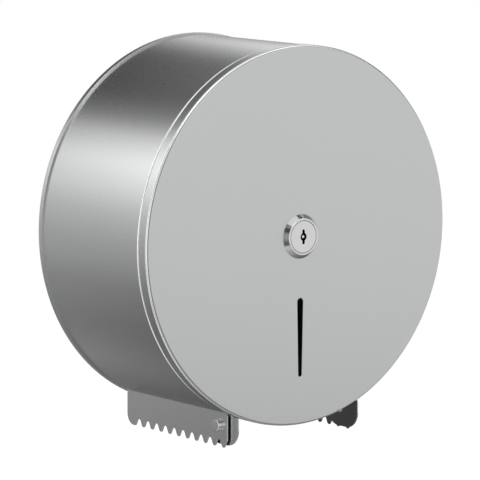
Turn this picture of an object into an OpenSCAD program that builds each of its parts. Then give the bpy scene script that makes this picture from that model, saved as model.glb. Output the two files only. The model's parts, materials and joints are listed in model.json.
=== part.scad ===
// Jumbo toilet roll dispenser: a round sheet steel drum on a back plate, with a cover that folds down
// on two riveted ears, a cam lock in the middle of the cover and a spindle with a turning roll hub.
// Frame: millimetres, +Z up, Y = 0 is the wall plane, the cover faces -Y, the origin is on the drum axis.

/* [Drum] */
// Outside diameter of the drum
body_d = 256; // [230:2:310]
// Distance from the wall to the cover's face
body_depth = 122; // [116:1:140]
// Thickness of the drum's sheet
sheet = 0.8; // [0.6:0.1:1.2]
// Radius of the rounded shoulder where the drum steps in under the cover
shoulder_r = 1.6; // [1.4:0.1:2.4]
// Distance from the ring behind the cover back to the free end of the drum's lip
lip_end_gap = 3; // [2:0.5:4]

/* [Back plate] */
// Thickness of the back plate's sheet
plate_t = 1.2; // [0.8:0.1:1.5]
// Height of the rim turned forward round the drum
rim_h = 4.8; // [3:0.2:8]
// Outer bend radius of the rim
rim_r = 2; // [1.8:0.1:2.8]
// Diameter of the pressed plateau that carries the spindle
plateau_d = 92; // [84:1:110]
// Height of the plateau above the wall plane
plateau_h = 3; // [2:0.5:5]
// Distance between the wall holes, across and up
wall_hole_pitch = 120; // [100:5:140]
// Diameter of the wall holes
wall_hole_d = 6.5; // [5:0.5:8]

/* [Cover] */
// Thickness of the cover's sheet
cover_t = 0.8; // [0.8:0.1:1.5]
// How far the cover's flange stands out past the drum
cover_over = 0.4; // [0:0.1:1]
// Distance from the cover's face to the rear edge of its flange
flange_h = 9; // [7:0.5:12]
// Thickness of the ring that carries the flange
rim_t = 0.9; // [0.7:0.1:1.1]
// Outer bend radius of the flange
cover_r = 1.3; // [1.2:0.1:2.5]
// Width of the ring behind the cover's disc
ring_w = 9; // [6:0.5:9.5]
// How far the disc's edge stays inside the flange
disc_inset = 1.1; // [0.6:0.1:1.6]
// Rounding of the disc's front edge
disc_edge_r = 0.7; // [0.3:0.1:0.7]
// Gap between the cover's flange and the drum's shoulder
cover_gap = 1; // [0.6:0.1:1.5]
// Radial gap between the cover's flange and the drum's lip
lip_gap = 1.1; // [0.8:0.1:1.4]

/* [Level slot] */
// Distance from the drum axis down to the top of the slot
slot_drop = 41.8; // [30:0.2:50]
// Length of the slot
slot_len = 53.6; // [40:0.2:60]
// Width of the slot at its top
slot_top_w = 5.1; // [4:0.1:7]
// Width of the slot at its bottom
slot_bottom_w = 3.1; // [2:0.1:4]

/* [Paper outlet] */
// Width over the outer faces of the two tear blades
outlet_w = 109.2; // [96:0.2:124]
// Thickness of the blades
blade_t = 1; // [0.8:0.1:1.5]
// How far the tooth tips reach below the drum
blade_drop = 11.6; // [10:0.2:15]
// Distance between teeth
tooth_pitch = 9.95; // [9:0.05:11]
// Depth from tooth tip to root
tooth_depth = 5.1; // [4:0.1:6]
// Radius of the tooth tips
tip_r = 1.9; // [1.5:0.1:2.1]
// Radius of the tooth roots
root_r = 2.1; // [1.5:0.1:2.2]
// Distance from the front edge of a blade to its first tip
first_tip = 4; // [3.2:0.1:4.8]
// Radius of the lower rear corner of a blade
blade_corner_r = 7.5; // [5:0.5:10]
// Width of the flange that welds a blade inside the drum
weld_w = 12; // [8:1:20]

/* [Cover hinge] */
// Distance of the hinge axis behind the cover's face
hinge_back = 19; // [17:0.5:20]
// Height of the hinge axis above the drum's lowest point
hinge_rise = 3.4; // [2.4:0.2:4.4]
// Thickness of the hinge ears
ear_t = 1; // [0.8:0.1:2]
// Length of the ears along the blades
ear_len = 32; // [30:0.5:38]
// Height of the ears' lower edge above the tooth tips
ear_rise = 1.5; // [1.2:0.1:3]
// Radius of the ears' lower front corner
ear_front_r = 12; // [10:0.5:14]
// Radius of the ears' lower rear corner
ear_back_r = 11.5; // [8:0.5:14]
// Gap of the ears' notch below the cover's flange
notch_gap = 0.7; // [0.5:0.1:1.5]
// Width of the tab that welds an ear to the cover
tab_w = 16; // [12:1:20]
// Height of the tab
tab_h = 14; // [10:1:18]
// Diameter of the hinge rivets' shanks
pin_d = 5; // [4:0.1:6]
// Diameter of the rivet heads at the blade
pin_head_d = 7.8; // [7:0.2:10]
// Height of the rivet heads
pin_head_h = 3.9; // [2:0.1:5]
// Diameter of the closed ends inside
pin_tail_d = 7.4; // [7:0.2:9]
// Thickness of the hinge washers
washer_t = 1; // [0.8:0.1:2]
// Diameter of the hinge washers
washer_d = 11; // [9:0.5:13]

/* [Spindle] */
// Diameter of the spindle post
post_d = 30; // [26:0.5:32]
// Wall of the spindle post
post_t = 1.5; // [1.2:0.1:2.5]
// Bend radius at the post's closed end
post_r = 3; // [2:0.5:4]
// Diameter of the base flange
base_d = 70; // [66:1:78]
// Thickness of the base flange
base_t = 1.5; // [1:0.1:3]
// Pitch circle diameter of the base rivets
base_rivet_pcd = 58; // [56:1:60]
// Diameter of the base rivets
base_rivet_d = 4; // [3:0.5:5]
// Number of base rivets
base_rivet_n = 4; // [3:1:6]

/* [Roll hub] */
// Diameter of the hub that the roll's core sits on
hub_d = 44; // [43:0.5:50]
// Wall of the hub's outer and inner tubes
hub_wall = 2.2; // [1.8:0.1:3]
// Diameter of the hub's rear flange
hub_flange_d = 66; // [56:1:76]
// Thickness of the hub's rear flange and front face
hub_flange_t = 2.5; // [2:0.1:4]
// Number of ribs between the hub's tubes
hub_rib_n = 6; // [3:1:10]
// Thickness of the ribs
hub_rib_t = 1.8; // [1.4:0.1:2.5]
// Thickness of the felt brake washer
felt_t = 2; // [1:0.5:4]
// Thickness of the hub's front washer
hub_washer_t = 0.8; // [0.5:0.1:1.5]
// Thickness of the retaining ring
ring_t = 1.2; // [0.8:0.1:1.6]
// Depth of the retaining ring's groove
ring_groove = 0.7; // [0.5:0.1:0.9]
// Width of the retaining ring across its wall
ring_wall = 3; // [2:0.2:4]
// Distance of the ring behind the post's front end
ring_back = 5; // [4.5:0.5:10]

/* [Lock] */
// Diameter of the collar at the cover
collar_d = 30; // [27:0.5:34]
// Diameter of the collar at its front
collar_front_d = 25.2; // [24:0.2:26.5]
// Height of the collar above the cover
collar_h = 3.3; // [2.5:0.1:5]
// Diameter of the lock barrel
barrel_d = 20; // [18:0.5:21]
// Width over the barrel's flats
barrel_flats = 17; // [16:0.5:18]
// Distance from the cover's face to the barrel's rear end
barrel_len = 17; // [14:0.5:20]
// Diameter of the plug's head
plug_head_d = 22; // [21:0.2:23]
// Thickness of the plug's head
plug_head_t = 2.6; // [2:0.1:3]
// Diameter of the plug's body
plug_d = 14; // [12:0.5:14.5]
// Width of the square tail
tail_w = 8; // [6:0.5:9]
// Height of the keyhole
key_h = 10; // [8:0.5:12]
// Width of the keyhole's slits
key_w = 2.1; // [1.5:0.1:2.5]
// Diameter of the keyhole's round middle
key_d = 5.2; // [4.5:0.1:6]
// Depth of the keyhole
key_depth = 9; // [6:0.5:12]
// Diameter of the guide pin in the keyhole
guide_d = 2.2; // [1.6:0.1:2.6]
// Distance of the guide pin's tip below the plug's face
guide_sink = 0.8; // [0.4:0.1:2]
// Width across the nut's flats
nut_flats = 24; // [23:0.5:26]
// Thickness of the nut
nut_t = 3.5; // [2.5:0.5:5]
// Thickness of the lock's washer
lock_washer_t = 0.8; // [0.5:0.1:1.2]
// Thickness of the cam
cam_t = 2; // [1.5:0.1:2.5]
// Reach of the cam from the lock's axis
cam_reach = 17.5; // [16.5:0.1:17.8]
// Width of the cam at its hub
cam_w = 14; // [13:0.5:15]
// Width of the cam at its tip
cam_tip_w = 10; // [8:0.5:12]
// Diameter of the cam's screw head
screw_head_d = 8; // [7:0.5:9]
// Diameter of the cam's screw
screw_d = 4; // [3:0.5:5]
// Diameter of the cam's washer
cam_washer_d = 12; // [11.5:0.5:13]
// Thickness of the cam's washer
cam_washer_t = 0.8; // [0.5:0.1:1.2]

/* [Keeper] */
// Distance from the lock's axis to the outside of the keeper
keeper_reach = 20; // [19.5:0.1:21]
// Thickness of the keeper's strap
keeper_t = 1.5; // [1:0.1:1.5]
// Width of the keeper's strap
keeper_w = 16; // [12:0.5:17]
// Length of the keeper's catching lip
keeper_lip = 8; // [6:0.2:8.5]
// Height of the keeper above the spindle's end
keeper_h = 15.5; // [14.5:0.5:18]
// Diameter of the keeper's rivets
keeper_rivet_d = 3; // [2:0.5:3.5]
// Distance between the keeper's rivets
keeper_rivet_pitch = 10; // [8:0.5:11]

/* [Hidden] */
$fn = 96;

// Clearances
seat = 0.05;  // between parts that are welded, riveted or clamped together
run = 0.08;   // radial, between a shaft and what turns on it
play = 0.15;  // between a moving part and the stop beside it
side_play = 0.1;  // on each side of the hinge washers
latch_gap = 0.5;  // between the cam and the keeper's lip
felt_gap = 1;     // between the brake washer and the rivets round it
cut = 1;      // overshoot of a cutting body, or of a body let into the one that carries it

// Shares of the diameter they belong to
head_ratio = 0.95;  // radius of a rivet's head
dome_ratio = 0.35;  // height of a rivet's domed head
flat_ratio = 0.28;  // height of a rivet's flat head
screw_ratio = 0.6;  // height of the cam screw's head
tooth_ratio = 0.85; // least distance of the last tooth's tip from the wall, as a share of the corner

// Drum and cover, as radii about the axis and heights above the wall
body_r = body_d / 2;
drum_in_r = body_r - sheet;
rim_out_r = body_r + seat + plate_t;
cover_out_r = body_r + cover_over;
cover_in = body_depth - cover_t;
ring_front = cover_in - seat;
ring_in = ring_front - rim_t;
flange_end = body_depth - flange_h;
shoulder = flange_end - cover_gap;
lip_r = cover_out_r - rim_t - lip_gap;
step_r = body_r - lip_r;

// Paper outlet
blade_x = outlet_w / 2;
blade_front = shoulder;
weld_top = shoulder - shoulder_r - sheet;
tip_z = -(body_r + blade_drop);
tooth_n = floor((blade_front - first_tip - tooth_ratio * blade_corner_r) / tooth_pitch) + 1;
gap_x = blade_x + 2 * seat;

// Hinge
hinge_h = body_depth - hinge_back;
hinge_z = -(body_r - hinge_rise);
ear_x = blade_x - blade_t - side_play - washer_t - side_play;
ear_front = ring_front;
ear_back = ear_front - ear_len;
ear_low = tip_z + ear_rise;
ear_bend_r = ear_t + 1;
ear_top = chord_z(cover_out_r, ear_x - ear_t) - notch_gap;
tab_low = chord_z(cover_out_r - ring_w, ear_x) + notch_gap;
pin_edge = 0.5;
pin_tail_h = 1.4;
function chord_z(r, x) = -sqrt(r * r - x * x);

// Lock
collar_top = body_depth + collar_h;
barrel_low = body_depth - barrel_len;
plug_top = collar_top - seat;
plug_head_low = plug_top - plug_head_t;
cam_top = barrel_low - play;
cam_low = cam_top - cam_t;
tail_low = cam_low + seat;
cam_washer_low = cam_low - seat - cam_washer_t;
nut_top = cover_in - seat - lock_washer_t - seat;
screw_depth = 6;
screw_head_h = screw_ratio * screw_d;

// Keeper
keeper_r = keeper_t + 0.5;
lip_low = cam_top + latch_gap;
keeper_top = lip_low + keeper_t;
keeper_low = keeper_top - keeper_h;

// Spindle
plateau_top = plateau_h + plate_t;
base_low = plateau_top + seat;
base_top = base_low + base_t;
post_top = keeper_low - seat;
ring_low = post_top - ring_back - ring_t;
felt_r = base_rivet_pcd / 2 - head_ratio * base_rivet_d - felt_gap;
hub_low = base_top + seat + felt_t + seat;
hub_top = ring_low - play - hub_washer_t - play;
hub_bore_r = post_d / 2 + run;
hub_edge_r = 1;

steel = "silver";
polished = "gainsboro";
plastic = "dimgray";
felt = "darkslategray";

// ---- helpers ----

// Turns a profile of radius and height above the wall about the drum axis.
module revolve(fn = 180) {
    rotate([90, 0, 0]) rotate_extrude($fn = fn) children();
}

// A cylinder on the drum axis between two heights above the wall.
module disc(r, low, high) {
    rotate([90, 0, 0]) translate([0, 0, low])
        cylinder(r = r, h = high - low, $fn = r > body_r / 2 ? 360 : 96);
}

// Extrudes an outline drawn as (height above the wall, Z) into a plate whose outer face is at x.
module side_plate(x, t) {
    translate([x, 0, 0]) rotate([90, 0, -90]) linear_extrude(t) children();
}

// A box given by its lowest corner and its highest corner.
module block(low, high) {
    translate(low) cube(high - low);
}

// The rounded bend of a sheet: a quarter ring whose outer corner would be at the origin.
module bend(r, t) {
    translate([-r, -r]) intersection() {
        difference() {
            circle(r, $fn = 48);
            circle(r - t, $fn = 48);
        }
        square(r);
    }
}

// Everything between the blades at the drum's lower edge.
module outlet_gap(low, high) {
    block([-gap_x, -high, tip_z], [gap_x, -low, chord_z(body_r, gap_x) + weld_w]);
}

// Mirrors a left-hand part to the right for side = 1.
module on_side(side) {
    mirror([side > 0 ? 1 : 0, 0, 0]) children();
}

// ---- drum ----

module back_plate() {
    pr = plateau_d / 2;
    slope = plate_t * (sqrt(2) - 1);
    color(steel) difference() {
        revolve() {
            polygon([[0, plateau_h], [pr - plateau_h, plateau_h], [pr, 0], [rim_out_r - rim_r, 0],
                [rim_out_r - rim_r, plate_t], [pr + slope, plate_t],
                [pr - plateau_h + slope, plateau_top], [0, plateau_top]]);
            translate([rim_out_r, 0]) mirror([0, 1]) bend(rim_r, plate_t);
            translate([rim_out_r - plate_t, rim_r]) square([plate_t, rim_h - rim_r]);
        }
        outlet_gap(plate_t, rim_h + cut);
        for (x = [-1, 1], z = [-1, 1])
            translate([x * wall_hole_pitch / 2, 0, z * wall_hole_pitch / 2])
                disc(wall_hole_d / 2, -cut, plate_t + cut);
        base_rivet_places() disc(base_rivet_d / 2 + seat, plateau_h - cut, plateau_top + cut);
    }
}

module drum_shell() {
    foot = rim_r + seat;
    color(steel) difference() {
        revolve() {
            translate([drum_in_r, foot]) square([sheet, shoulder - shoulder_r - foot]);
            translate([body_r, shoulder]) bend(shoulder_r, sheet);
            translate([lip_r - sheet, shoulder - sheet])
                square([sheet, ring_in - lip_end_gap - shoulder + sheet]);
            translate([lip_r - sheet, shoulder - sheet]) square([step_r + sheet - shoulder_r, sheet]);
        }
        outlet_gap(-cut, body_depth);
    }
}

// ---- paper outlet ----

// Points on an arc about c, from one angle to another.
function arc(c, r, from, to, n = 12) =
    [for (i = [0:n]) c + r * [cos(from + (to - from) * i / n), sin(from + (to - from) * i / n)]];

// Blade outline, as height above the wall and Z. Round tips and round roots are joined by flanks
// tangent to both. The front edge cuts the root before the first tooth, and the last tooth runs into
// the rear corner.
module blade_outline() {
    half = tooth_pitch / 2;
    root_y = tooth_depth - root_r;
    rise = root_y - tip_r;
    lean = atan2(rise, half) - acos((tip_r + root_r) / sqrt(half * half + rise * rise));
    first = blade_front - first_tip;
    last = first - (tooth_n - 1) * tooth_pitch;
    corner_r = min(blade_corner_r, last);
    translate([0, tip_z]) polygon(concat(
        [[0, body_r / 4]],
        arc([corner_r, corner_r], corner_r, 180, 270),
        [for (i = [tooth_n - 1:-1:0]) each concat(
            arc([first - i * tooth_pitch, tip_r], tip_r, i == tooth_n - 1 ? 270 : 180 - lean, 360 + lean),
            arc([first - i * tooth_pitch + half, root_y], root_r, 180 + lean,
                i == 0 ? acos((first_tip - half) / root_r) : -lean))],
        [[blade_front, body_r / 4]]));
}

// Left-hand blade: the toothed plate, and the curved flange that is welded inside the drum.
module blade() {
    weld_r = drum_in_r - seat;
    difference() {
        union() {
            side_plate(-blade_x + blade_t, blade_t) blade_outline();
            intersection() {
                disc(weld_r, rim_r + plate_t, weld_top);
                block([-blade_x - weld_w, -body_depth, -body_r], [-blade_x + blade_t / 2, 0, -body_r / 2]);
            }
        }
        disc(weld_r - blade_t, -cut, body_depth);
        disc(rim_out_r + seat, -cut, plate_t + seat);
        on_hinge() translate([0, 0, -cut]) cylinder(d = pin_d + 2 * seat, h = blade_t + 2 * cut);
    }
}

module tear_blade_left() { color(steel) on_side(-1) blade(); }
module tear_blade_right() { color(steel) on_side(1) blade(); }

// ---- cover hinge ----

// A body turned about the hinge axis, with its length running inwards from the blade's outer face.
module on_hinge() {
    translate([-blade_x, -hinge_h, hinge_z]) rotate([0, 90, 0]) children();
}

module hinge_rivet() {
    shank = blade_x - ear_x + ear_t + side_play;
    on_hinge() {
        translate([0, 0, -pin_head_h])
            cylinder(d1 = pin_head_d - 2 * pin_edge, d2 = pin_head_d, h = pin_edge);
        translate([0, 0, pin_edge - pin_head_h]) cylinder(d = pin_head_d, h = pin_head_h - pin_edge - seat);
        translate([0, 0, -2 * seat]) cylinder(d = pin_d, h = shank + 3 * seat);
        translate([0, 0, shank]) cylinder(d = pin_tail_d, h = pin_tail_h - pin_edge);
        translate([0, 0, shank + pin_tail_h - pin_edge])
            cylinder(d1 = pin_tail_d, d2 = pin_tail_d - 2 * pin_edge, h = pin_edge);
    }
}

module hinge_washer() {
    on_hinge() translate([0, 0, blade_t + side_play]) difference() {
        cylinder(d = washer_d, h = washer_t, $fn = 48);
        translate([0, 0, -cut]) cylinder(d = pin_d + 2 * run, h = washer_t + 2 * cut, $fn = 48);
    }
}

// Ear outline, as height above the wall and Z: a tongue below the cover, joined behind its flange by
// a neck to the web that carries the tab.
module ear_outline() {
    neck_back = hinge_h - pin_head_d / 2;
    neck_w = shoulder - neck_back;
    web_front = ear_front - ear_bend_r;
    difference() {
        union() {
            intersection() {
                translate([ear_back, ear_low]) square([ear_len, ear_top - ear_low]);
                union() {
                    translate([ear_back + ear_back_r, ear_low + ear_back_r]) circle(ear_back_r);
                    translate([ear_front - ear_front_r, ear_low + ear_front_r]) circle(ear_front_r);
                    translate([ear_back + ear_back_r, ear_low])
                        square([ear_len - ear_back_r - ear_front_r, ear_top - ear_low]);
                    translate([ear_back, ear_low + ear_back_r]) square([ear_len / 2, ear_top - ear_low]);
                    translate([ear_back + ear_len / 2, ear_low + ear_front_r])
                        square([ear_len / 2, ear_top - ear_low]);
                }
            }
            translate([neck_back, ear_top - cut]) square([neck_w, tab_low + tab_h + cut - ear_top]);
            translate([neck_back, tab_low]) square([web_front - neck_back, tab_h]);
        }
        translate([hinge_h, hinge_z]) circle(pin_d / 2 + run);
    }
}

// Left-hand ear: the pivoting plate, and the tab that is welded to the cover's disc.
module hinge_ear() {
    side_plate(-ear_x + ear_t, ear_t) ear_outline();
    translate([-ear_x, -cover_in + seat, tab_low]) linear_extrude(tab_h) {
        rotate(180) bend(ear_bend_r, ear_t);
        translate([ear_bend_r, 0]) square([tab_w - ear_bend_r, ear_t]);
    }
}

module hinge_rivet_left() { color(polished) on_side(-1) hinge_rivet(); }
module hinge_rivet_right() { color(polished) on_side(1) hinge_rivet(); }
module hinge_washer_left() { color(plastic) on_side(-1) hinge_washer(); }
module hinge_washer_right() { color(plastic) on_side(1) hinge_washer(); }
module hinge_ear_left() { color(steel) on_side(-1) hinge_ear(); }
module hinge_ear_right() { color(steel) on_side(1) hinge_ear(); }

// ---- cover ----

module slot_outline() {
    top = -slot_drop - slot_top_w / 2;
    bottom = -slot_drop - slot_len + slot_bottom_w / 2;
    lean = asin((slot_top_w - slot_bottom_w) / 2 / (top - bottom));
    dir = [cos(lean), -sin(lean)];
    a = [0, top] + slot_top_w / 2 * dir;
    b = [0, bottom] + slot_bottom_w / 2 * dir;
    translate([0, top]) circle(d = slot_top_w, $fn = 48);
    translate([0, bottom]) circle(d = slot_bottom_w, $fn = 48);
    polygon([a, b, [-b.x, b.y], [-a.x, a.y]]);
}

// A round of the given diameter with two flats, left and right.
module double_d(d, flats) {
    intersection() {
        circle(d = d);
        square([flats, d], center = true);
    }
}

// The level slot and the lock's hole, through the disc.
module cover_holes() {
    rotate([90, 0, 0]) translate([0, 0, cover_in - cut]) linear_extrude(cover_t + 2 * cut) {
        slot_outline();
        double_d(barrel_d + 2 * seat, barrel_flats + 2 * seat);
    }
}

module cover_disc() {
    r = cover_out_r - disc_inset;
    color(steel) difference() {
        revolve() {
            translate([0, cover_in]) square([r - disc_edge_r, cover_t]);
            translate([0, cover_in]) square([r, cover_t - disc_edge_r]);
            translate([r - disc_edge_r, body_depth - disc_edge_r]) intersection() {
                circle(disc_edge_r, $fn = 48);
                square(disc_edge_r);
            }
        }
        cover_holes();
    }
}

// The ring behind the disc's edge, turned back into the flange.
module cover_rim() {
    color(steel) revolve() {
        translate([cover_out_r - ring_w, ring_in]) square([ring_w - cover_r, rim_t]);
        translate([cover_out_r, ring_front]) bend(cover_r, rim_t);
        translate([cover_out_r - rim_t, flange_end]) square([rim_t, ring_front - cover_r - flange_end]);
    }
}

// ---- spindle ----

module base_rivet_places() {
    for (i = [0:base_rivet_n - 1])
        rotate([0, 45 + i * 360 / base_rivet_n, 0]) translate([base_rivet_pcd / 2, 0, 0]) children();
}

module spindle_base() {
    color(steel) difference() {
        disc(base_d / 2, base_low, base_top);
        base_rivet_places() disc(base_rivet_d / 2 + seat, base_low - cut, base_top + cut);
    }
}

// A rivet along the drum axis through the given stack, with a domed head in front and a flat one behind.
module rivet(d, low, high) {
    head_r = head_ratio * d;
    head_h = dome_ratio * d;
    flat_h = flat_ratio * d;
    revolve(48) {
        translate([0, low - seat]) square([d / 2, high - low + 2 * seat]);
        translate([0, low - seat - flat_h]) square([head_r, flat_h]);
        translate([0, high + seat]) intersection() {
            dome_r = (head_r * head_r + head_h * head_h) / (2 * head_h);
            translate([0, head_h - dome_r]) circle(dome_r, $fn = 96);
            square([head_r, head_h]);
        }
    }
}

module spindle_rivets() {
    color(polished) base_rivet_places() rivet(base_rivet_d, plateau_h, base_top);
}

module keeper_rivet_places() {
    for (x = [-1, 1]) translate([x * keeper_rivet_pitch / 2, 0, 0]) children();
}

module spindle_post() {
    r = post_d / 2;
    low = base_top + seat;
    color(steel) difference() {
        revolve() {
            translate([r - post_t, low]) square([post_t, post_top - post_r - low]);
            translate([r, post_top]) bend(post_r, post_t);
            translate([0, post_top - post_t]) square([r - post_r, post_t]);
        }
        difference() {
            disc(r + cut, ring_low - seat, ring_low + ring_t + seat);
            disc(r - ring_groove, ring_low - cut, ring_low + ring_t + cut);
        }
        keeper_rivet_places() disc(keeper_rivet_d / 2 + seat, post_top - post_t - cut, post_top + cut);
    }
}

module brake_washer() {
    color(felt) difference() {
        disc(felt_r, base_top + seat, hub_low - seat);
        disc(hub_bore_r + seat, base_top - cut, hub_low + cut);
    }
}

// A moulded hub: an outer and an inner tube joined by ribs, a front face and a wide rear flange.
module roll_hub() {
    r = hub_d / 2;
    inner_r = hub_bore_r + hub_wall;
    color(plastic) {
        revolve() {
            translate([r - hub_wall, hub_low]) square([hub_wall, hub_top - hub_edge_r - hub_low]);
            translate([r - hub_wall, hub_low]) square([hub_wall - hub_edge_r, hub_top - hub_low]);
            translate([r - hub_edge_r, hub_top - hub_edge_r]) circle(hub_edge_r, $fn = 48);
            translate([hub_bore_r, hub_low]) square([hub_wall, hub_top - hub_low]);
            translate([inner_r - cut, hub_top - hub_flange_t])
                square([r - hub_edge_r - inner_r + cut, hub_flange_t]);
            translate([r - hub_wall, hub_low])
                square([hub_flange_d / 2 - r + hub_wall - hub_flange_t / 2, hub_flange_t]);
            translate([(hub_flange_d - hub_flange_t) / 2, hub_low + hub_flange_t / 2])
                circle(d = hub_flange_t, $fn = 48);
        }
        for (i = [0:hub_rib_n - 1])
            rotate([0, i * 360 / hub_rib_n, 0])
                block([inner_r - cut, -hub_top + cut, -hub_rib_t / 2],
                    [r - hub_wall + cut, -hub_low, hub_rib_t / 2]);
    }
}

module hub_washer() {
    low = hub_top + play;
    color(polished) difference() {
        disc(post_d / 2 + ring_wall, low, low + hub_washer_t);
        disc(hub_bore_r, low - cut, low + hub_washer_t + cut);
    }
}

module hub_retaining_ring() {
    inner_r = post_d / 2 - ring_groove + seat;
    outer_r = inner_r + ring_wall;
    opening = ring_wall * 2;
    color(polished) difference() {
        disc(outer_r, ring_low, ring_low + ring_t);
        disc(inner_r, ring_low - cut, ring_low + ring_t + cut);
        block([-opening / 2, -ring_low - ring_t - cut, 0], [opening / 2, -ring_low + cut, outer_r + cut]);
    }
}

// ---- keeper ----

// A folded strap: a foot on the spindle's end, a riser beside the lock and a lip in front of the cam.
module lock_keeper() {
    foot_end = keeper_rivet_pitch / 2 + keeper_rivet_d;
    riser_h = keeper_h - 2 * keeper_r;
    color(steel) difference() {
        translate([-keeper_reach, -keeper_low, -keeper_w / 2]) linear_extrude(keeper_w) {
            translate([keeper_r, -keeper_t]) square([keeper_reach - keeper_r + foot_end, keeper_t]);
            mirror([1, 0]) bend(keeper_r, keeper_t);
            translate([0, -keeper_r - riser_h]) square([keeper_t, riser_h]);
            translate([0, -keeper_h]) rotate(180) bend(keeper_r, keeper_t);
            translate([keeper_r, -keeper_h]) square([keeper_lip - keeper_r, keeper_t]);
        }
        keeper_rivet_places()
            disc(keeper_rivet_d / 2 + seat, keeper_low - cut, keeper_low + keeper_t + cut);
    }
}

module keeper_rivets() {
    color(polished) keeper_rivet_places() rivet(keeper_rivet_d, post_top - post_t, keeper_low + keeper_t);
}

// ---- lock ----

module lock_housing() {
    collar_low = body_depth + seat;
    rim = 0.4;
    color(polished) difference() {
        union() {
            revolve(96) polygon([[0, collar_low], [collar_d / 2, collar_low],
                [collar_front_d / 2, collar_top - rim / 2], [collar_front_d / 2 - rim, collar_top],
                [0, collar_top]]);
            rotate([90, 0, 0]) translate([0, 0, barrel_low])
                linear_extrude(collar_low - barrel_low + cut / 2) double_d(barrel_d, barrel_flats);
        }
        disc(plug_head_d / 2 + run, plug_head_low - run, collar_top + cut);
        disc(plug_d / 2 + run, barrel_low - cut, collar_top + cut);
    }
}

module lock_washer() {
    top = cover_in - seat;
    color(polished) difference() {
        disc(nut_flats / 2 + 1, top - lock_washer_t, top);
        disc(barrel_d / 2 + seat, top - lock_washer_t - cut, top + cut);
    }
}

module lock_nut() {
    color(polished) difference() {
        rotate([90, 0, 0]) translate([0, 0, nut_top - nut_t])
            cylinder(d = nut_flats / cos(30), h = nut_t, $fn = 6);
        disc(barrel_d / 2 + seat, nut_top - nut_t - cut, nut_top + cut);
    }
}

module lock_plug() {
    rim = 0.3;
    color(polished) difference() {
        union() {
            revolve(96) {
                translate([0, barrel_low]) square([plug_d / 2, plug_head_low - barrel_low + cut]);
                polygon([[0, plug_head_low], [plug_head_d / 2, plug_head_low],
                    [plug_head_d / 2, plug_top - rim], [plug_head_d / 2 - rim, plug_top], [0, plug_top]]);
            }
            block([-tail_w / 2, -barrel_low - cut, -tail_w / 2], [tail_w / 2, -tail_low, tail_w / 2]);
        }
        disc(key_d / 2, plug_top - key_depth, plug_top + cut);
        rotate([90, 0, 0]) translate([0, 0, plug_top - key_depth]) linear_extrude(key_depth + cut) {
            square([key_w, key_h - key_w], center = true);
            for (z = [-1, 1]) translate([0, z * (key_h - key_w) / 2]) circle(d = key_w, $fn = 32);
        }
        disc(screw_d / 2, tail_low - cut, tail_low + screw_depth);
    }
}

module guide_pin() {
    foot = plug_top - key_depth;
    top = plug_top - guide_sink;
    point = guide_d / 2;
    color(polished) {
        disc(guide_d / 2, foot + seat, top - point);
        rotate([90, 0, 0]) translate([0, 0, top - point])
            cylinder(d1 = guide_d, d2 = guide_d / 3, h = point, $fn = 48);
    }
}

// At rest the cam points down, clear of the keeper. A quarter turn to -X takes it behind the keeper's lip.
module lock_cam() {
    tip = cam_reach - cam_tip_w / 2;
    color(steel) difference() {
        rotate([90, 0, 0]) translate([0, 0, cam_low]) linear_extrude(cam_t) {
            circle(d = cam_w);
            polygon([[-cam_w / 2, 0], [-cam_tip_w / 2, -tip], [cam_tip_w / 2, -tip], [cam_w / 2, 0]]);
            translate([0, -tip]) circle(d = cam_tip_w);
        }
        block([-tail_w / 2 - seat, -cam_top - cut, -tail_w / 2 - seat],
            [tail_w / 2 + seat, -cam_low + cut, tail_w / 2 + seat]);
    }
}

module cam_washer() {
    color(polished) difference() {
        disc(cam_washer_d / 2, cam_washer_low, cam_washer_low + cam_washer_t);
        disc(screw_d / 2 + seat, cam_washer_low - cut, cam_low + cut);
    }
}

module cam_screw() {
    head_top = cam_washer_low - seat;
    slot_w = screw_d / 4;
    color(polished) difference() {
        union() {
            disc(screw_head_d / 2, head_top - screw_head_h, head_top);
            disc(screw_d / 2 - seat, head_top - seat, tail_low + screw_depth - seat);
        }
        block([-screw_head_d, -head_top + screw_head_h / 2, -slot_w / 2],
            [screw_head_d, -head_top + screw_head_h + cut, slot_w / 2]);
    }
}

back_plate();
drum_shell();
tear_blade_left();
tear_blade_right();
spindle_base();
spindle_rivets();
spindle_post();
brake_washer();
roll_hub();
hub_washer();
hub_retaining_ring();
lock_keeper();
keeper_rivets();
hinge_rivet_left();
hinge_rivet_right();
hinge_washer_left();
hinge_washer_right();
cover_disc();
cover_rim();
hinge_ear_left();
hinge_ear_right();
lock_housing();
lock_washer();
lock_nut();
lock_plug();
guide_pin();
lock_cam();
cam_washer();
cam_screw();
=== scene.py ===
import json, math
import bpy, bmesh
import numpy as np
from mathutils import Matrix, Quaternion, Vector
from mathutils.geometry import tessellate_polygon


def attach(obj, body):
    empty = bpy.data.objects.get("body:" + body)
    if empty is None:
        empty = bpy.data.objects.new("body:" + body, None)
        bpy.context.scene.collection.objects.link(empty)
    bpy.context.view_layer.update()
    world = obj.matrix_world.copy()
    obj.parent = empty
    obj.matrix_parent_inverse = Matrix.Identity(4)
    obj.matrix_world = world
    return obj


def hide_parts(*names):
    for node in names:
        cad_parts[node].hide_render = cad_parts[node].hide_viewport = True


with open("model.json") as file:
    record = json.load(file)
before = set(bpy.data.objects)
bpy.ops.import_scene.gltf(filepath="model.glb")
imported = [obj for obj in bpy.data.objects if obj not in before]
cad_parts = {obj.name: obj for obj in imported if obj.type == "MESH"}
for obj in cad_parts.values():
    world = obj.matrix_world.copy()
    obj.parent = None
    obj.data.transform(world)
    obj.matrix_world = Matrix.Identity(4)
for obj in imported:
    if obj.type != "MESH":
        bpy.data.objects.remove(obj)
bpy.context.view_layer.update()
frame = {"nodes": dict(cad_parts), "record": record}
nodes = frame["nodes"]
slotOf = {s["node"]: s["material_slot"] for s in frame["record"]["subparts"]}
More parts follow.
